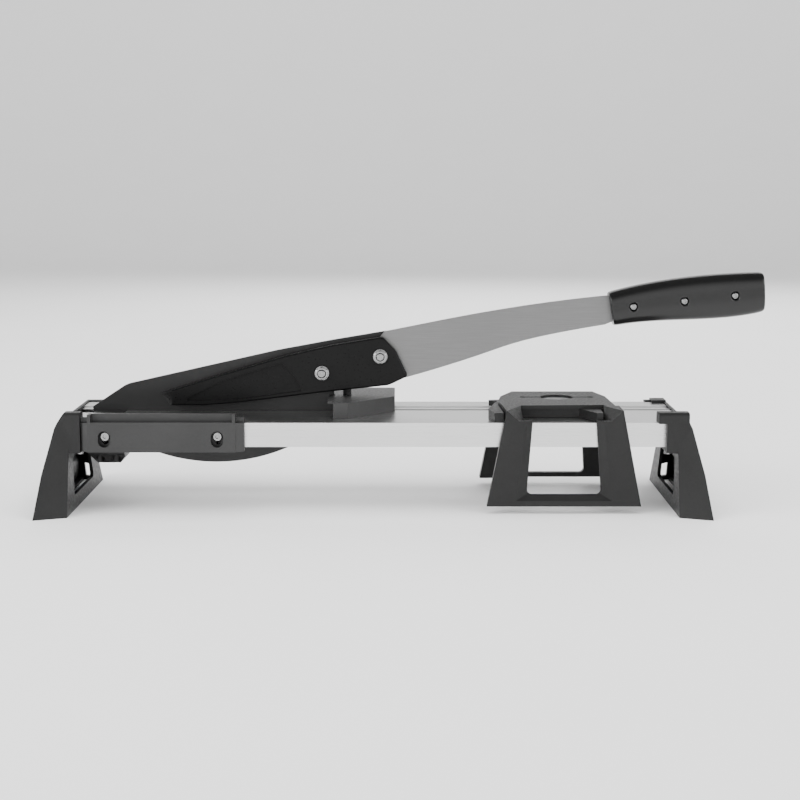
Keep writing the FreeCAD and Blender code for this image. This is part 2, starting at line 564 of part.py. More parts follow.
def window(y_front, y_back, head):
    """Window that flares towards the front and has rounded corners at its narrow back."""
    wide, narrow = trapezium(11.0, 39.5, 31.5, head), trapezium(16.0, 30.5, 26.0, head)
    wires = [outline([Vector(x, y, z) for x, z in points]) for points, y in ((wide, y_front),
                                                                            (narrow, y_back - 1.0))]
    back = prism_y(narrow, y_back - 1.5, y_back + 1.0, [4.0, 4.0, 1.0, 1.0])
    return [Part.makeLoft(wires, True, True), back]


def front_corner(side):
    """Block over the table's edge at the top of one front leg, with a diagonal front facet."""
    block = prism_z(at_support([(side * 49.0, -65.8), (side * 47.5, -37.0), (side * 34.5, -37.0),
                                (side * 33.0, -65.8)]), TABLE_TOP + 1.2, SUPPORT_TOP)
    slope = prism_y([(SUPPORT_X + side * 63.4, SUPPORT_FOOT_Z), (SUPPORT_X + side * 47.6, SUPPORT_TOP),
                     (SUPPORT_X + side * 63.4, SUPPORT_TOP)], -70.0, -30.0)
    # The facet leans back from the block's low inner corner to the plate's slanted edge.
    below = [(33.0, -65.8), (30.0, -66.8), (30.0, -50.0)]
    above = [(48.1, -66.8), (30.0, -66.8), (30.0, -27.9)]
    wires = [outline([Vector(SUPPORT_X + side * x, y, z) for x, y in points[::side]])
             for points, z in ((below, 73.0), (above, SUPPORT_TOP + 0.1))]
    return block.cut(slope).cut(Part.makeLoft(wires, True, True))


def leg_frame(ys, shoulders, window_cut):
    """Frame of one leg: wide at the floor, with the shoulders given as (half width, z) pairs."""
    low = [(SUPPORT_X - 63.4, SUPPORT_FOOT_Z), (SUPPORT_X + 63.4, SUPPORT_FOOT_Z)]
    right = [(SUPPORT_X + half, z) for half, z in shoulders]
    left = [(SUPPORT_X - half, z) for half, z in reversed(shoulders)]
    return prism_y(low + right + left, *ys).cut(window_cut)


front_leg = leg_frame(SUPPORT_FRONT_Y, ((49.3, 77.5),), window(*SUPPORT_FRONT_Y, 79.0))
rear_window = prism_y([(SUPPORT_X - 30.5, 10.5), (SUPPORT_X + 30.5, 10.5), (SUPPORT_X + 27.0, 70.0),
                       (SUPPORT_X - 27.0, 70.0)], 50.0, 70.0, [4.0, 4.0, 4.0, 4.0])
rear_leg = leg_frame(SUPPORT_BACK_Y, ((50.5, 70.0), (34.0, 74.0), (33.0, SUPPORT_TOP - 3)), rear_window)
rear_bridge = box((SUPPORT_X - 33.0, SUPPORT_X + 33.0), (44.0, SUPPORT_BACK_Y[0] + 1),
                  (SUPPORT_TOP - 7, SUPPORT_TOP - 2.5))
posts = [prism_y([(SUPPORT_X + side * 63.4, SUPPORT_FOOT_Z), (SUPPORT_X + side * 54.8, 50.0),
                  (SUPPORT_X + side * 44.0, 50.0), (SUPPORT_X + side * 50.0, SUPPORT_FOOT_Z)],
                 SUPPORT_BACK_Y[0] - 6.0, SUPPORT_BACK_Y[0] + 1.0) for side in (-1, 1)]
disc_hole = rod_z(SUPPORT_X, LOCK_Y, LOCK_DISC_RADIUS + 0.6, 70.0, 90.0)
pointers = []
for side in (-1, 1):
    line_x = (SUPPORT_X + side * 13.0, SUPPORT_X + side * 29.0)
    pointers.append(box(line_x, (LOCK_Y - 1.5, LOCK_Y + 1.5), (SUPPORT_TOP - 1.6, SUPPORT_TOP + 1)))
    pointers.append(rod_z(line_x[1], LOCK_Y, 3.0, SUPPORT_TOP - 1.6, SUPPORT_TOP + 1))
side_walls = [prism_z(at_support(points), TABLE_TOP + 1.2, SUPPORT_TOP) for points in
              ([(-48.0, -60.0), (-51.0, -7.0), (-48.5, -7.0), (-45.5, -60.0)],
               [(47.4, -60.0), (44.5, -41.0), (42.5, 17.0), (40.0, 17.0), (42.0, -41.0), (44.5, -60.0)])]
frame_parts = [front_leg, rear_leg, rear_bridge, front_corner(-1), front_corner(1)] + side_walls + posts
support_frame = plate.fuse(frame_parts).cut([disc_hole] + pointers).removeSplitter()
save("support_frame", support_frame)

saddle_z = (TABLE_TOP + 0.3, SUPPORT_TOP - SUPPORT_PLATE)
saddle = prism_z(at_support([
    (-57.0, -58.0), (-61.0, -34.0), (-54.0, -2.0), (-48.0, 18.0), (-38.0, 43.0), (36.0, 43.0), (40.0, 17.0),
    (43.0, -58.0), (27.0, -58.0), (15.0, -33.0), (-36.0, -33.0), (-41.0, -58.0)]), *saddle_z)
wall_room = [prism_z(at_support(points), 70.0, 90.0) for points in
             ([(-49.3, -67.0), (-51.5, -6.4), (-48.1, -6.4), (-45.1, -36.4), (-32.0, -36.4), (-32.0, -67.0)],
              [(50.0, -67.0), (44.8, -41.0), (42.8, 17.3), (39.7, 17.3), (41.7, -36.4), (32.0, -36.4),
               (32.0, -67.0)])]
prong = prism_z(at_support([(-44.0, 22.0), (-57.0, 33.0), (-57.0, 36.0), (-36.0, 42.0)]),
                TABLE_TOP + 0.3, TABLE_TOP + 5.0)
saddle = saddle.fuse(prong).cut(wall_room)
saddle = saddle.cut([rod_z(SUPPORT_X, LOCK_Y, LOCK_DISC_RADIUS + 0.6, SUPPORT_TOP - 6, 90.0),
                     rod_z(SUPPORT_X, LOCK_Y, LOCK_SCREW_RADIUS + 0.3, 70.0, 90.0)])
save("support_saddle", saddle)

disc = rod_z(SUPPORT_X, LOCK_Y, LOCK_DISC_RADIUS, SUPPORT_TOP - 5.7, SUPPORT_TOP - 1.8)
coin_slot = box((SUPPORT_X - 8.0, SUPPORT_X + 8.0), (LOCK_Y - 0.8, LOCK_Y + 0.8),
                (SUPPORT_TOP - 3.6, SUPPORT_TOP))
save("lock_disc", disc.cut([coin_slot, rod_z(SUPPORT_X, LOCK_Y, LOCK_SCREW_RADIUS, 70.0, SUPPORT_TOP - 3.8)]))
save("lock_screw", rod_z(SUPPORT_X, LOCK_Y, LOCK_SCREW_RADIUS, 46.0, SUPPORT_TOP - 3.8))
clamp_bar = box((SUPPORT_X - 14.0, SUPPORT_X + 14.0), (-8.0, 32.0), (48.0, TABLE_UNDERSIDE - 0.4))
save("lock_bar", clamp_bar.cut(rod_z(SUPPORT_X, LOCK_Y, LOCK_SCREW_RADIUS + 0.05, 40.0, 60.0)))
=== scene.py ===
# %% [markdown]
# # Lever floor tile cutter
# The packed engineering model gives the frame: every part's place, and the bodies that move.
# We load it first and never move it. Then we dress it: parts whose shape is already right get
# rounded edges, others are replaced by finer surfaces, and every part gets a worked-out material.

# %% Load the fixed frame
import bmesh
import bpy
import math
import numpy as np
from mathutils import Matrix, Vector


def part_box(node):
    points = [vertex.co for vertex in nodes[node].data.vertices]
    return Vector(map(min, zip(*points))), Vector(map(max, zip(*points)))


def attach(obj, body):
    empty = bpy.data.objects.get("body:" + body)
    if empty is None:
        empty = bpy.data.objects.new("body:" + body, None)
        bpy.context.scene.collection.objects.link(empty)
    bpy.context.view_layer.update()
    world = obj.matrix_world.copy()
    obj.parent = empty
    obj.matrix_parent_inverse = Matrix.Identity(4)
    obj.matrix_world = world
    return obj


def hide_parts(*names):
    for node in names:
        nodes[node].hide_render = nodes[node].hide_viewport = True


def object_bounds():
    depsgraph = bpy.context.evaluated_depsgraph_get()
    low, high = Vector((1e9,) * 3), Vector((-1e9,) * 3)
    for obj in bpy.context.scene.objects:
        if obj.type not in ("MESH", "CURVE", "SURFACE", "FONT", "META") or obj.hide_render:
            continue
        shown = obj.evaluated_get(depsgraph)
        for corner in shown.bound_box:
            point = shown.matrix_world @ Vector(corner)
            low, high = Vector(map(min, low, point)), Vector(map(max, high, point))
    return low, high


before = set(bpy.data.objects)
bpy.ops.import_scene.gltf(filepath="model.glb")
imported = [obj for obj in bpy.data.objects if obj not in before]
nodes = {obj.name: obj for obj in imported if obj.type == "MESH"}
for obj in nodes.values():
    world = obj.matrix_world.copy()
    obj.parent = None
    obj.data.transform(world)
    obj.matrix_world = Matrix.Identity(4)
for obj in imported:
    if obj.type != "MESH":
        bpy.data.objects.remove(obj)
cad_low, cad_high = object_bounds()
MM = 0.001
cad_size = [round(v / MM) for v in cad_high - cad_low]
print("parts in the frame:", len(nodes), "size in mm:", cad_size)

# %% [markdown]
# The camera comes first, so that each finish can be judged from where it will be seen. A long tool
# is best shown from far away through a long lens, a little above the table, so that the front stays
# nearly flat and the top still shows.

# %% Camera
CAMERA_PLACE = Vector((-6.3, -1348.9, 285.6)) * MM
CAMERA_PITCH = math.radians(8.45)
LENS, SENSOR_WIDTH = 71.8, 36.0
CLIP_NEAR, CLIP_FAR = 0.05, 50.0

camera_data = bpy.data.cameras.new("camera")
camera_data.lens, camera_data.sensor_width = LENS, SENSOR_WIDTH
camera_data.clip_start, camera_data.clip_end = CLIP_NEAR, CLIP_FAR
camera = bpy.data.objects.new("camera", camera_data)
camera.location = CAMERA_PLACE
camera.rotation_euler = (math.pi / 2 - CAMERA_PITCH, 0.0, 0.0)
bpy.context.scene.collection.objects.link(camera)
bpy.context.scene.camera = camera
print("camera looks down by", round(math.degrees(CAMERA_PITCH), 2), "degrees")

# %% [markdown]
# Every new surface here is a grid: two parameters run over it, and each cell is one four-sided
# face. The points come as one array, so a shape is only a formula. The finished object sits at the
# origin, with its place in its points, which keeps patterns and export simple.

# %% Grid helpers


def grid_mesh(name, points, close_u=False, close_v=False):
    """Mesh of a (rows, columns, 3) array: each cell is one quad, joined round if closed."""
    rows, columns = points.shape[:2]
    u = np.arange(rows if close_u else rows - 1)[:, None]
    v = np.arange(columns if close_v else columns - 1)[None, :]
    u_next, v_next = (u + 1) % rows, (v + 1) % columns
    quads = np.stack([u * columns + v, u * columns + v_next,
                      u_next * columns + v_next, u_next * columns + v], axis=-1)
    mesh = bpy.data.meshes.new(name)
    mesh.from_pydata(points.reshape(-1, 3).tolist(), [], quads.reshape(-1, 4).tolist())
    return mesh


def add_object(name, mesh):
    """Object at the origin for a mesh whose place is in its points."""
    piece = bpy.data.objects.new(name, mesh)
    bpy.context.scene.collection.objects.link(piece)
    return piece


print("helpers:", grid_mesh.__name__, add_object.__name__)

# %% [markdown]
# A pale sweep under and behind the tool keeps the view plain. One surface does both: a floor
# that turns up into a wall along a quarter circle, so the front view has no horizon line. One
# parameter runs across and the other runs along that profile. The near edge is left open, and a
# view from behind shows it as a straight line.

# %% Floor sweep
SWEEP_HALF_WIDTH = 6.0
SWEEP_NEAR, SWEEP_FAR, SWEEP_RADIUS, SWEEP_HEIGHT = -4.0, 3.0, 1.5, 5.0
SWEEP_STEPS = 17

turn = np.linspace(0.0, math.pi / 2, SWEEP_STEPS)
profile_y = np.concatenate([[SWEEP_NEAR], SWEEP_FAR + SWEEP_RADIUS * np.sin(turn),
                            [SWEEP_FAR + SWEEP_RADIUS]])
profile_z = np.concatenate([[0.0], SWEEP_RADIUS * (1 - np.cos(turn)), [SWEEP_HEIGHT]])
across = np.array([-SWEEP_HALF_WIDTH, SWEEP_HALF_WIDTH])
sweep_points = np.stack(np.broadcast_arrays(across[None, :], profile_y[:, None],
                                            profile_z[:, None]), axis=-1)
floor = add_object("floor_sweep", grid_mesh("floor_sweep", sweep_points))
floor.data.flip_normals()
floor.data.shade_smooth()
print("sweep rows:", len(profile_y))

# %% [markdown]
# Light comes from large soft panels: one overhead for the tops and the floor, one on each side and
# one behind. All of them light the tool, but only the side panels show in reflections, so the
# outlines of the other two never cross a glossy face.

# %% Light panels
# Each row is a name, a place, the point it is turned to, a side length in metres and a power.
PANELS = (
    ("overhead", (0.0, -0.3, 2.2), (0.0, 0.0, 0.0), 2.4, 74.0),
    ("left", (-1.9, -1.3, 1.0), (0.0, 0.0, 0.05), 1.4, 40.0),
    ("right", (1.9, -1.1, 0.9), (0.1, 0.0, 0.05), 1.4, 24.0),
    ("back", (0.3, 1.9, 1.3), (0.0, 0.0, 0.05), 1.6, 32.0),
)
REFLECTED_PANELS = ("left", "right")


def soft_panel(name, place, target, size, power):
    """Square area light at a place, turned towards a target."""
    data = bpy.data.lights.new(name, "AREA")
    data.size, data.energy = size, power
    light = bpy.data.objects.new(name, data)
    light.location = place
    aim = Vector(target) - Vector(place)
    light.rotation_euler = aim.to_track_quat("-Z", "Y").to_euler()
    light.visible_glossy = name in REFLECTED_PANELS
    bpy.context.scene.collection.objects.link(light)


for panel in PANELS:
    soft_panel(*panel)
print("light panels:", len(PANELS))

# %% [markdown]
# A pale sky fills the rest. It is bright near the horizon and darker overhead, as a studio is, so
# that a gloss surface that leans back goes dark towards its top. The fade follows the upward part
# of the direction, which is 0 at the horizon and 1 straight up.

# %% Sky
SKY_AT_HORIZON, SKY_OVERHEAD = 1.9, 0.30
SKY_FADE_FROM, SKY_FADE_TO = 0.18, 0.72

sky = bpy.data.worlds.new("sky")
sky.use_nodes = True
sky_tree = sky.node_tree
background = sky_tree.nodes["Background"]
background.inputs["Color"].default_value = (1.0, 1.0, 1.0, 1.0)
direction = sky_tree.nodes.new("ShaderNodeTexCoord").outputs["Generated"]
split = sky_tree.nodes.new("ShaderNodeSeparateXYZ")
fade = sky_tree.nodes.new("ShaderNodeMapRange")
fade.interpolation_type = "SMOOTHSTEP"
for key, value in (("From Min", SKY_FADE_FROM), ("From Max", SKY_FADE_TO),
                   ("To Min", SKY_AT_HORIZON), ("To Max", SKY_OVERHEAD)):
    fade.inputs[key].default_value = value
sky_tree.links.new(direction, split.inputs["Vector"])
sky_tree.links.new(split.outputs["Z"], fade.inputs["Value"])
sky_tree.links.new(fade.outputs["Result"], background.inputs["Strength"])
bpy.context.scene.world = sky
print("sky strength from", SKY_AT_HORIZON, "to", SKY_OVERHEAD)

# %% [markdown]
# A material is a small graph. These helpers keep each recipe short: one makes a node and sets its
# sockets, and one makes a noise pattern read from Object coordinates, squeezed along each axis, so
# that the same recipe gives a fine even grain or long brushed lines.

# %% Material helpers
MOST_OF_NOISE = (0.3, 0.7)


class Recipe:
    """A material's node tree, with short calls to add nodes and join them."""

    def __init__(self, name):
        self.material = bpy.data.materials.new(name)
        self.material.use_nodes = True
        self.tree = self.material.node_tree
        self.shader = self.tree.nodes["Principled BSDF"]
        self.place = self.tree.nodes.new("ShaderNodeTexCoord").outputs["Object"]

    def node(self, kind, settings=None, **sockets):
        """Add a node; settings are its properties, sockets are values or links by socket name."""
        made = self.tree.nodes.new("ShaderNode" + kind)
        for key, value in (settings or {}).items():
            setattr(made, key, value)
        for key, value in sockets.items():
            self.join(made.inputs[key.replace("_", " ")], value)
        return made

    def join(self, socket, value):
        """Link an output to a socket, or set the socket's own value."""
        if isinstance(value, bpy.types.NodeSocket):
            self.tree.links.new(value, socket)
        else:
            socket.default_value = value

    def set(self, **sockets):
        """Set the shader's own sockets."""
        for key, value in sockets.items():
            self.join(self.shader.inputs[key.replace("_", " ")], value)

    def noise(self, squeeze, detail=4.0, roughness=0.5, turn=(0.0, 0.0, 0.0)):
        """Noise whose grains per metre along x, y and z are the squeeze values."""
        mapping = self.node("Mapping", Vector=self.place, Rotation=turn)
        mapping.inputs["Scale"].default_value = squeeze
        made = self.node("TexNoise", Vector=mapping.outputs["Vector"], Scale=1.0, Detail=detail,
                         Roughness=roughness)
        return made.outputs["Fac"]

    def spread(self, factor, span, out_low=0.0, out_high=1.0):
        """Map a factor from a span of its values to another range, clamped."""
        made = self.node("MapRange", Value=factor)
        for key, value in (("From Min", span[0]), ("From Max", span[1]),
                           ("To Min", out_low), ("To Max", out_high)):
            made.inputs[key].default_value = value
        return made.outputs["Result"]

    def blend(self, factor, first, second):
        """Colour between two colours."""
        made = self.node("Mix", {"data_type": "RGBA"})
        self.join(made.inputs["Factor"], factor)
        self.join(made.inputs["A"], first)
        self.join(made.inputs["B"], second)
        return made.outputs["Result"]

    def bump(self, height, distance, strength):
        """Bump from a height; the distance is the height's full depth in metres."""
        made = self.node("Bump", Height=height, Distance=distance, Strength=strength)
        return made.outputs["Normal"]


def grey(value, tint=(1.0, 1.0, 1.0)):
    """Colour of one brightness, slightly tinted."""
    return (value * tint[0], value * tint[1], value * tint[2], 1.0)


print("recipe calls:", [name for name in vars(Recipe) if not name.startswith("_")])

# %% [markdown]
# Moulded plastic feet and supports have a fine spark-eroded grain, pressed into them by the mould.
# Two noises do it: a fine one for the grain, and a broad faint one for the uneven flow of the
# plastic. The grain also breaks up the gloss, so the highlights along the edges look soft.

# %% Moulded plastic
FLOW = (22.0, 30.0, 30.0)
SPECK_SPAN, SPECK_SHARE, SPECK_LIFT = (0.35, 0.72), 0.35, 1.35
GRAIN_STRENGTH = 0.8
PLASTIC_IOR = 1.5


def moulded_plastic(name, dark, light, rough_low, rough_high, shine, grain=1500.0, depth=0.00006):
    """Dark plastic with a pressed grain, a faint cloudy tone and an uneven gloss."""
    r = Recipe(name)
    fine = r.noise((grain,) * 3, 3.0, 0.6)
    flow = r.noise(FLOW, 4.0, 0.55)
    gloss = r.noise((grain / 3,) * 3, 2.0)
    tone = r.blend(r.spread(flow, MOST_OF_NOISE), grey(dark), grey(light))
    speck = r.spread(fine, SPECK_SPAN, 0.0, SPECK_SHARE)
    r.set(Base_Color=r.blend(speck, tone, grey(light * SPECK_LIFT)))
    r.set(Roughness=r.spread(gloss, MOST_OF_NOISE, rough_low, rough_high))
    r.set(Normal=r.bump(fine, depth, GRAIN_STRENGTH), IOR=PLASTIC_IOR, Specular_IOR_Level=shine)
    return r.material


foot_plastic = moulded_plastic("foot_plastic", 0.0075, 0.0115, 0.36, 0.54, 0.26)
block_plastic = moulded_plastic("block_plastic", 0.020, 0.030, 0.36, 0.52, 0.40)
guide_plastic = moulded_plastic("guide_plastic", 0.014, 0.021, 0.36, 0.52, 0.42,
                                grain=1100.0, depth=0.00008)
cover_plastic = moulded_plastic("cover_plastic", 0.0030, 0.0044, 0.26, 0.38, 0.14,
                                grain=1900.0, depth=0.00002)
grip_plastic = moulded_plastic("grip_plastic", 0.0022, 0.0032, 0.20, 0.27, 0.45,
                               grain=2400.0, depth=0.000004)
plastics = (foot_plastic, block_plastic, guide_plastic, cover_plastic, grip_plastic)
print("plastics:", [material.name for material in plastics])

# %% [markdown]
# Metal that has been rolled, drawn or brushed carries fine lines along one direction. The noise is
# squeezed hard across the lines and hardly along them. The lines change the gloss and, very
# slightly, the height of the surface, so a reflection is smeared across them as on the real thing.

# %% Brushed metals
LINE_SPAN, LINE_STRENGTH = (0.32, 0.68), 0.5
HAZE = (9.0, 14.0, 14.0)
HAZE_SPAN, HAZE_SHARE, HAZE_DARKENING = (0.35, 0.75), 0.35, 0.9
LINE_DEPTH = 0.000004
LEVER_SLOPE = math.radians(12.0)


def brushed_metal(name, dark, light, rough_low, rough_high, lines, turn=(0.0, 0.0, 0.0),
                  tint=(1.0, 1.0, 1.0)):
    """Metal with long fine lines; lines holds the grains per metre along x, y and z."""
    r = Recipe(name)
    streaks = r.noise(lines, 5.0, 0.65, turn)
    haze = r.noise(HAZE, 3.0, 0.5)
    tone = r.blend(r.spread(streaks, LINE_SPAN), grey(dark, tint), grey(light, tint))
    r.set(Base_Color=r.blend(r.spread(haze, HAZE_SPAN, 0.0, HAZE_SHARE), tone,
                             grey(dark * HAZE_DARKENING, tint)))
    r.set(Roughness=r.spread(streaks, MOST_OF_NOISE, rough_low, rough_high))
    r.set(Normal=r.bump(streaks, LINE_DEPTH, LINE_STRENGTH), Metallic=1.0)
    return r.material


rail_aluminium = brushed_metal("rail_aluminium", 0.66, 0.74, 0.24, 0.34, (10.0, 2600.0, 2600.0))
lever_steel = brushed_metal("lever_steel", 0.17, 0.225, 0.32, 0.46, (30.0, 2400.0, 2400.0),
                            turn=(0.0, LEVER_SLOPE, 0.0))
tool_steel = brushed_metal("tool_steel", 0.40, 0.50, 0.24, 0.38, (60.0, 2000.0, 2000.0))
fastener_steel = brushed_metal("fastener_steel", 0.26, 0.38, 0.20, 0.34, (900.0, 900.0, 900.0))
disc_steel = brushed_metal("disc_steel", 0.30, 0.40, 0.30, 0.42, (300.0, 1600.0, 1600.0))
bush_brass = brushed_metal("bush_brass", 0.45, 0.58, 0.22, 0.34, (700.0, 1500.0, 700.0),
                           tint=(1.0, 0.80, 0.42))
metals = (rail_aluminium, lever_steel, tool_steel, fastener_steel, disc_steel, bush_brass)
print("metals:", [material.name for material in metals])

# %% [markdown]
# The blade and the pivot block are steel under a thin dark coating. A coating is paint: it is not a
# mirror, but the grinding lines of the steel still show through as faint changes of gloss.

# %% Coated steel
COAT_LINES, COAT_CLOUD = (40.0, 1500.0, 1500.0), (35.0, 35.0, 35.0)
COAT_DEPTH, COAT_STRENGTH, COAT_METALLIC = 0.00003, 0.5, 0.35
BLADE_SLOPE = math.radians(13.0)


def coated_steel(name, dark, light, rough_low, rough_high, turn=(0.0, 0.0, 0.0)):
    """Dark coating over ground steel."""
    r = Recipe(name)
    lines = r.noise(COAT_LINES, 4.0, 0.6, turn)
    cloud = r.noise(COAT_CLOUD, 4.0, 0.6)
    r.set(Base_Color=r.blend(r.spread(cloud, MOST_OF_NOISE), grey(dark), grey(light)))
    r.set(Roughness=r.spread(lines, MOST_OF_NOISE, rough_low, rough_high))
    r.set(Normal=r.bump(lines, COAT_DEPTH, COAT_STRENGTH), Metallic=COAT_METALLIC)
    return r.material


blade_coating = coated_steel("blade_coating", 0.009, 0.014, 0.34, 0.48, (0.0, BLADE_SLOPE, 0.0))
block_paint = coated_steel("block_paint", 0.010, 0.016, 0.40, 0.55)
print("coatings:", blade_coating.name, block_paint.name)

# %% [markdown]
# The buffer under the lever is black rubber. Old rubber is matt and has a faint pale bloom, which a
# soft noise gives in the tone, the gloss and the height together.

# %% Rubber
BLOOM = (160.0, 160.0, 160.0)
BLOOM_SPAN = (0.4, 0.8)
BLOOM_DEPTH, BLOOM_STRENGTH = 0.00008, 0.6


def soft_rubber(name):
    """Matt black rubber with a faint bloom."""
    r = Recipe(name)
    bloom = r.noise(BLOOM, 4.0, 0.6)
    r.set(Base_Color=r.blend(r.spread(bloom, BLOOM_SPAN), grey(0.012), grey(0.03)))
    r.set(Roughness=r.spread(bloom, MOST_OF_NOISE, 0.6, 0.8))
    r.set(Normal=r.bump(bloom, BLOOM_DEPTH, BLOOM_STRENGTH))
    return r.material


bumper_rubber = soft_rubber("bumper_rubber")
print("rubber:", bumper_rubber.name)

# %% [markdown]
# The floor is painted board. It only has to be pale and even, with a breath of texture.

# %% Floor paint
MOTTLE = (6.0, 6.0, 6.0)


def pale_floor():
    """Near-white matt paint, very slightly mottled."""
    r = Recipe("pale_floor")
    mottle = r.noise(MOTTLE, 3.0, 0.5)
    r.set(Base_Color=r.blend(mottle, grey(0.90), grey(0.93)), Roughness=0.9)
    return r.material


floor.data.materials.append(pale_floor())
print("floor paint:", floor.data.materials[0].name)

# %% [markdown]
# Each part of the engineering model takes its finish here, by name. The parts that are copied or
# replaced below are in the list too, because a copy carries its finish with it.

# %% Finishes of the parts
FINISHES = {
    rail_aluminium: ("front_rail", "rear_rail"),
    foot_plastic: ("left_foot", "right_foot", "support_frame", "support_saddle"),
    block_plastic: ("stop_block",),
    guide_plastic: ("guide_bracket",),
    cover_plastic: ("front_cover", "rear_cover"),
    grip_plastic: ("front_handle_scale", "rear_handle_scale"),
    lever_steel: ("lever_arm",),
    tool_steel: ("lower_blade", "pivot_pin", "stop_block_clamp", "lock_bar"),
    fastener_steel: ("lower_blade_screws", "foot_screws", "pivot_block_screws", "pivot_washers",
                     "guide_screws", "stop_block_screws", "lever_bolts", "lever_nuts",
                     "lever_washers", "handle_screws", "handle_nuts", "lock_screw"),
    blade_coating: ("blade",),
    block_paint: ("pivot_block",),
    disc_steel: ("lock_disc",),
    bumper_rubber: ("lever_bumper",),
    bush_brass: ("pivot_bush",),
}
for finish, names in FINISHES.items():
    for name in names:
        nodes[name].data.materials.clear()
        nodes[name].data.materials.append(finish)
print("finished parts:", sum(len(names) for names in FINISHES.values()))

# %% [markdown]
# The engineering model's edges are knife sharp, and real mouldings and machined parts never are: a
# small round on each edge catches the light. We copy a part, weld its loose triangles, melt the
# flat ones back into whole faces, and let a Bevel modifier round every edge that turns sharply. A
# Weighted Normal modifier then gives the big faces the say over the shading, so that they stay
# flat.

# %% Helper for rounded parts
WELD = 0.000004
FLAT_WITHIN = math.radians(0.6)
SHARP = math.radians(28.0)
BEVEL_SEGMENTS = 2
FACE_WEIGHT = 100


def stand_in(piece, node, body):
    """The piece rides on a body and stands for a part, whose own object is hidden."""
    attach(piece, body)
    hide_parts(node)
    return piece


def rounded_copy(node, body, width):
    """Copy of a part with its sharp edges rounded; it keeps the part's finish and stands for it."""
    mesh = nodes[node].data.copy()
    shape = bmesh.new()
    shape.from_mesh(mesh)
    bmesh.ops.remove_doubles(shape, verts=shape.verts, dist=WELD)
    bmesh.ops.dissolve_limit(shape, angle_limit=FLAT_WITHIN, verts=shape.verts, edges=shape.edges,
                             use_dissolve_boundaries=False)
    shape.to_mesh(mesh)
    shape.free()
    piece = add_object(node + "_moulded", mesh)
    bevel = piece.modifiers.new("rounded edges", "BEVEL")
    bevel.width, bevel.segments = width, BEVEL_SEGMENTS
    bevel.limit_method, bevel.angle_limit = "ANGLE", SHARP
    bevel.use_clamp_overlap = True
    flatten = piece.modifiers.new("flat faces stay flat", "WEIGHTED_NORMAL")
    flatten.weight, flatten.keep_sharp = FACE_WEIGHT, True
    mesh.shade_smooth()
    return stand_in(piece, node, body)


print("edges that turn by more than", round(math.degrees(SHARP)), "degrees get rounded")

# %% [markdown]
# How round an edge is depends on how it was made: a large moulding has the widest rounds, a sawn
# extrusion or a ground blade the narrowest.

# %% Parts with rounded edges
# Each row is a part, its body, the width of its rounds in millimetres and its material slot.
ROUNDED = (
    ("left_foot", "root", 0.9, "foot_plastic"),
    ("right_foot", "root", 0.9, "foot_plastic"),
    ("stop_block", "root", 0.5, "foot_plastic"),
    ("pivot_block", "root", 0.6, "block_metal"),
    ("front_rail", "root", 0.35, "rail_aluminium"),
    ("rear_rail", "root", 0.35, "rail_aluminium"),
    ("stop_block_clamp", "root", 0.3, "tool_steel"),
    ("guide_screws", "root", 0.25, "fastener_steel"),
    ("guide_bracket", "guide", 0.4, "foot_plastic"),
    ("support_frame", "support", 0.7, "foot_plastic"),
    ("support_saddle", "support", 0.6, "foot_plastic"),
    ("lock_bar", "support", 0.4, "tool_steel"),
    ("lock_disc", "lock", 0.35, "block_metal"),
    ("blade", "lever", 0.25, "coated_steel"),
    ("lever_arm", "lever", 0.45, "lever_steel"),
    ("front_cover", "lever", 0.8, "cover_plastic"),
    ("rear_cover", "lever", 0.8, "cover_plastic"),
    ("lever_bolts", "lever", 0.4, "fastener_steel"),
    ("lever_washers", "lever", 0.2, "fastener_steel"),
    ("handle_screws", "lever", 0.25, "fastener_steel"),
)
for node, body, width, slot in ROUNDED:
    piece = rounded_copy(node, body, width * MM)
    print(piece.name, "faces before rounding:", len(piece.data.polygons))

# %% [markdown]
# The handle is two plastic halves, each crowned so that it swells into the palm. Its top and bottom
# edges are two gentle curves. We know a few points of each, and a cubic fitted to them, over the
# share of the edge's length, gives as many points as we like.

# %% Handle outline
HANDLE_TOP = np.array([(198.2, 176.9), (231.7, 184.8), (262.0, 189.5), (329.4, 194.0)])
HANDLE_BOTTOM = np.array([(203.2, 148.3), (238.0, 152.5), (266.0, 153.4), (300.0, 155.6),
                          (331.0, 160.6)])
HANDLE_SHIFT = np.array([-28.0, 0.0])
HANDLE_ROWS = 340


def smooth_line(points, along):
    """Points at each share of a line's length: a cubic in that share is fitted to x and to z."""
    steps = np.hypot(*np.diff(points, axis=0).T)
    share = np.concatenate([[0.0], np.cumsum(steps)]) / steps.sum()
    return np.stack([np.polyval(np.polyfit(share, points[:, k], 3), along) for k in (0, 1)],
                    axis=-1)


along_handle = np.linspace(0.0, 1.0, HANDLE_ROWS)
top_line = (smooth_line(HANDLE_TOP, along_handle) + HANDLE_SHIFT) * MM
bottom_line = (smooth_line(HANDLE_BOTTOM, along_handle) + HANDLE_SHIFT) * MM
print("top edge's length along x in mm:", round((top_line[-1, 0] - top_line[0, 0]) / MM, 1))

# %% [markdown]
# Superellipses, which are circles pushed towards squares, make the crowned solid: one gives the
# section, and two along the length close the ends in depth and in height. Each screw sits in a
# round well sunk into the crowned face. Where a point of the face is closer to a screw than the
# well's radius, we set it back to the well's floor; a short smooth step between them makes the
# wall.

# %% Crowned handle halves
HANDLE_SCREW_PLACES = np.array([(219.1, 165.2), (262.1, 169.9), (304.8, 174.6)])
SECTION_POWER, END_POWER, CORNER_POWER = 3.0, 40.0, 30.0
SECTION_STEPS, BACK_STEPS = 112, 12
WELL_WALL = 0.6 * MM


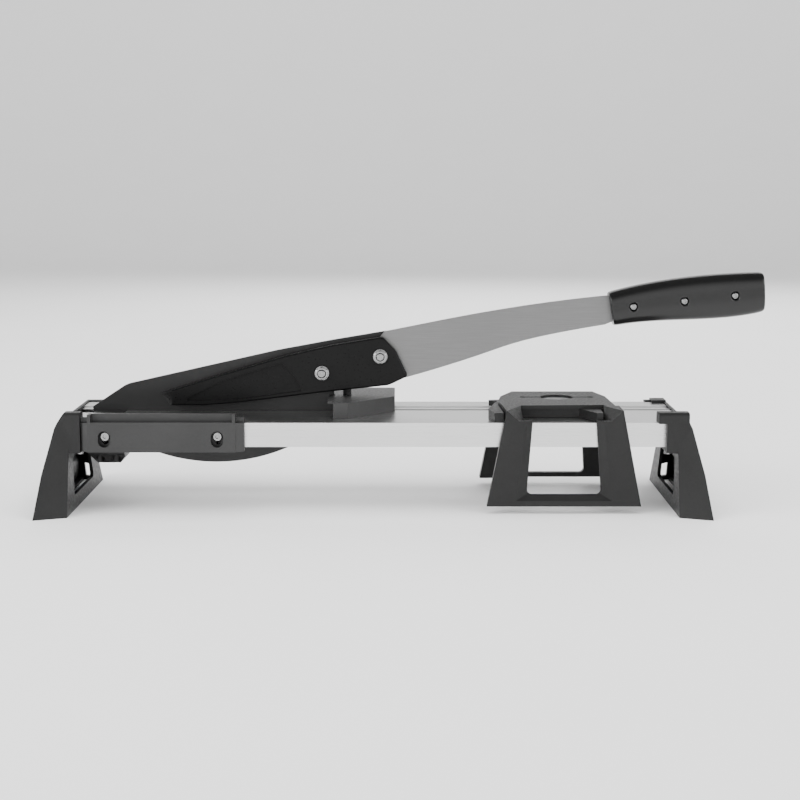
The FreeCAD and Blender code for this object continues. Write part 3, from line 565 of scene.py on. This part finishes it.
def sink_wells(depth, place, radius, deepest):
    """Depth no more than deepest within the radius of a screw, with a smooth step around it."""
    for x, z in (HANDLE_SCREW_PLACES + HANDLE_SHIFT) * MM:
        away = np.hypot(place[..., 0] - x, place[..., 1] - z)
        outside = np.clip((away - radius) / WELL_WALL, 0, 1)
        outside = outside * outside * (3 - 2 * outside)
        sunk = np.minimum(depth, deepest)
        depth = sunk + (depth - sunk) * outside
    return depth


def handle_half(name, side, well_radius, well_depth):
    """Half a handle. Round the section, height goes as cos(t)^(2/p) and depth as sin(t)^(2/p).
    Along the length w, from -1 to 1, both are multiplied by (1 - |w|^q)^(1/q), where q is the
    corner power for height and the end power for depth. The flat inner face closes it."""
    low, high = (np.array(corner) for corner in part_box(name))
    parting = high[1] if side < 0 else low[1]
    thickness = high[1] - low[1]
    w = 2 * along_handle[:, None] - 1
    end = np.clip(1 - np.abs(w) ** END_POWER, 0, 1) ** (1 / END_POWER)
    corner = np.clip(1 - np.abs(w) ** CORNER_POWER, 0, 1) ** (1 / CORNER_POWER)
    t = np.linspace(0.0, math.pi, SECTION_STEPS)[None, :]
    height = np.sign(np.cos(t)) * np.abs(np.cos(t)) ** (2 / SECTION_POWER) * corner
    depth = np.abs(np.sin(t)) ** (2 / SECTION_POWER) * end * thickness
    back_height = np.linspace(-1.0, 1.0, BACK_STEPS)[None, 1:-1] * corner
    height = np.concatenate([height, back_height], axis=1)
    depth = np.concatenate([depth, np.zeros_like(back_height)], axis=1)
    share = (height[..., None] + 1) / 2
    place = bottom_line[:, None, :] * (1 - share) + top_line[:, None, :] * share
    depth = sink_wells(depth, place, well_radius, thickness - well_depth)
    points = np.stack([place[..., 0], parting + side * depth, place[..., 1]], axis=-1)
    mesh = grid_mesh(name + "_crowned", points, close_v=True)
    shape = bmesh.new()
    shape.from_mesh(mesh)
    bmesh.ops.remove_doubles(shape, verts=shape.verts, dist=WELD)
    bmesh.ops.recalc_face_normals(shape, faces=shape.faces)
    shape.to_mesh(mesh)
    shape.free()
    mesh.materials.append(grip_plastic)
    mesh.shade_smooth()
    return stand_in(add_object(name + "_crowned", mesh), name, "lever")


for name, side, well_radius, well_depth in (("front_handle_scale", -1, 3.2 * MM, 3.0 * MM),
                                            ("rear_handle_scale", 1, 4.2 * MM, 3.6 * MM)):
    piece = handle_half(name, side, well_radius, well_depth)
    print(piece.name, "faces:", len(piece.data.polygons))

# %% [markdown]
# A real hexagon nut is turned before it is cut to length: a cone takes off its six corners, so
# each flat ends in a shallow arc. The surface is a profile turned round the bolt, where the radius
# is the smaller of two: the hexagon's radius in that direction, and the cone's radius at that
# height. A nut stops wherever it is tight. Ours have a corner straight up, a twelfth of a turn
# from the engineering model's, whose corners lie along the table.

# %% Nuts
NUT_ACROSS_FLATS, NUT_BORE = 10.0 * MM, 3.0 * MM
NUT_ANGLES = 96
SIXTH_TURN = math.pi / 3
CONE_START, CONE_SLOPE = 0.96, math.tan(math.radians(60))
# Up the nut's profile: the share of its height, and of the way from the bore to the outside.
NUT_RISE = np.array([0.22, 0.0, 0.0, 0.04, 0.1, 0.18, 0.3, 0.5, 1.0, 1.0])[:, None]
NUT_REACH = np.array([0.0, 0.42, 0.93, 1.0, 1.0, 1.0, 1.0, 1.0, 1.0, 0.0])[:, None]


def nut_points(centre_x, centre_z, front, back):
    """Nut round a Y axis: the radius is flat/cos(angle from the flat's middle), cut by a cone at
    30 degrees to its front face, and the bore closes the ring."""
    half = NUT_ACROSS_FLATS / 2
    angle = np.linspace(0, 2 * math.pi, NUT_ANGLES, endpoint=False)[None, :]
    hexagon = half / np.cos((angle + SIXTH_TURN / 2) % SIXTH_TURN - SIXTH_TURN / 2)
    cone = half * CONE_START + NUT_RISE * (back - front) * CONE_SLOPE
    radius = NUT_BORE + (np.minimum(hexagon, cone) - NUT_BORE) * NUT_REACH
    y = front + NUT_RISE * (back - front) + 0 * angle
    return np.stack([centre_x + radius * np.cos(angle), y, centre_z + radius * np.sin(angle)],
                    axis=-1)


def nut_pair(name):
    """The two nuts of the lever's bolts. The centres come from the box round the engineering
    model's pair: it ends at a corner of each nut along X and at a flat of each along Z."""
    low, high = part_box(name)
    corner, half = NUT_ACROSS_FLATS / math.sqrt(3), NUT_ACROSS_FLATS / 2
    centres = ((low[0] + corner, low[2] + half), (high[0] - corner, high[2] - half))
    shape = bmesh.new()
    for x, z in centres:
        nut = grid_mesh("nut", nut_points(x, z, low[1], high[1]), close_u=True, close_v=True)
        shape.from_mesh(nut)
        bpy.data.meshes.remove(nut)
    bmesh.ops.recalc_face_normals(shape, faces=shape.faces)
    mesh = bpy.data.meshes.new(name + "_turned")
    shape.to_mesh(mesh)
    shape.free()
    mesh.materials.append(fastener_steel)
    mesh.shade_smooth()
    mesh.set_sharp_from_angle(angle=SHARP)
    return stand_in(add_object(name + "_turned", mesh), name, "lever")


piece = nut_pair("lever_nuts")
print(piece.name, "faces:", len(piece.data.polygons))
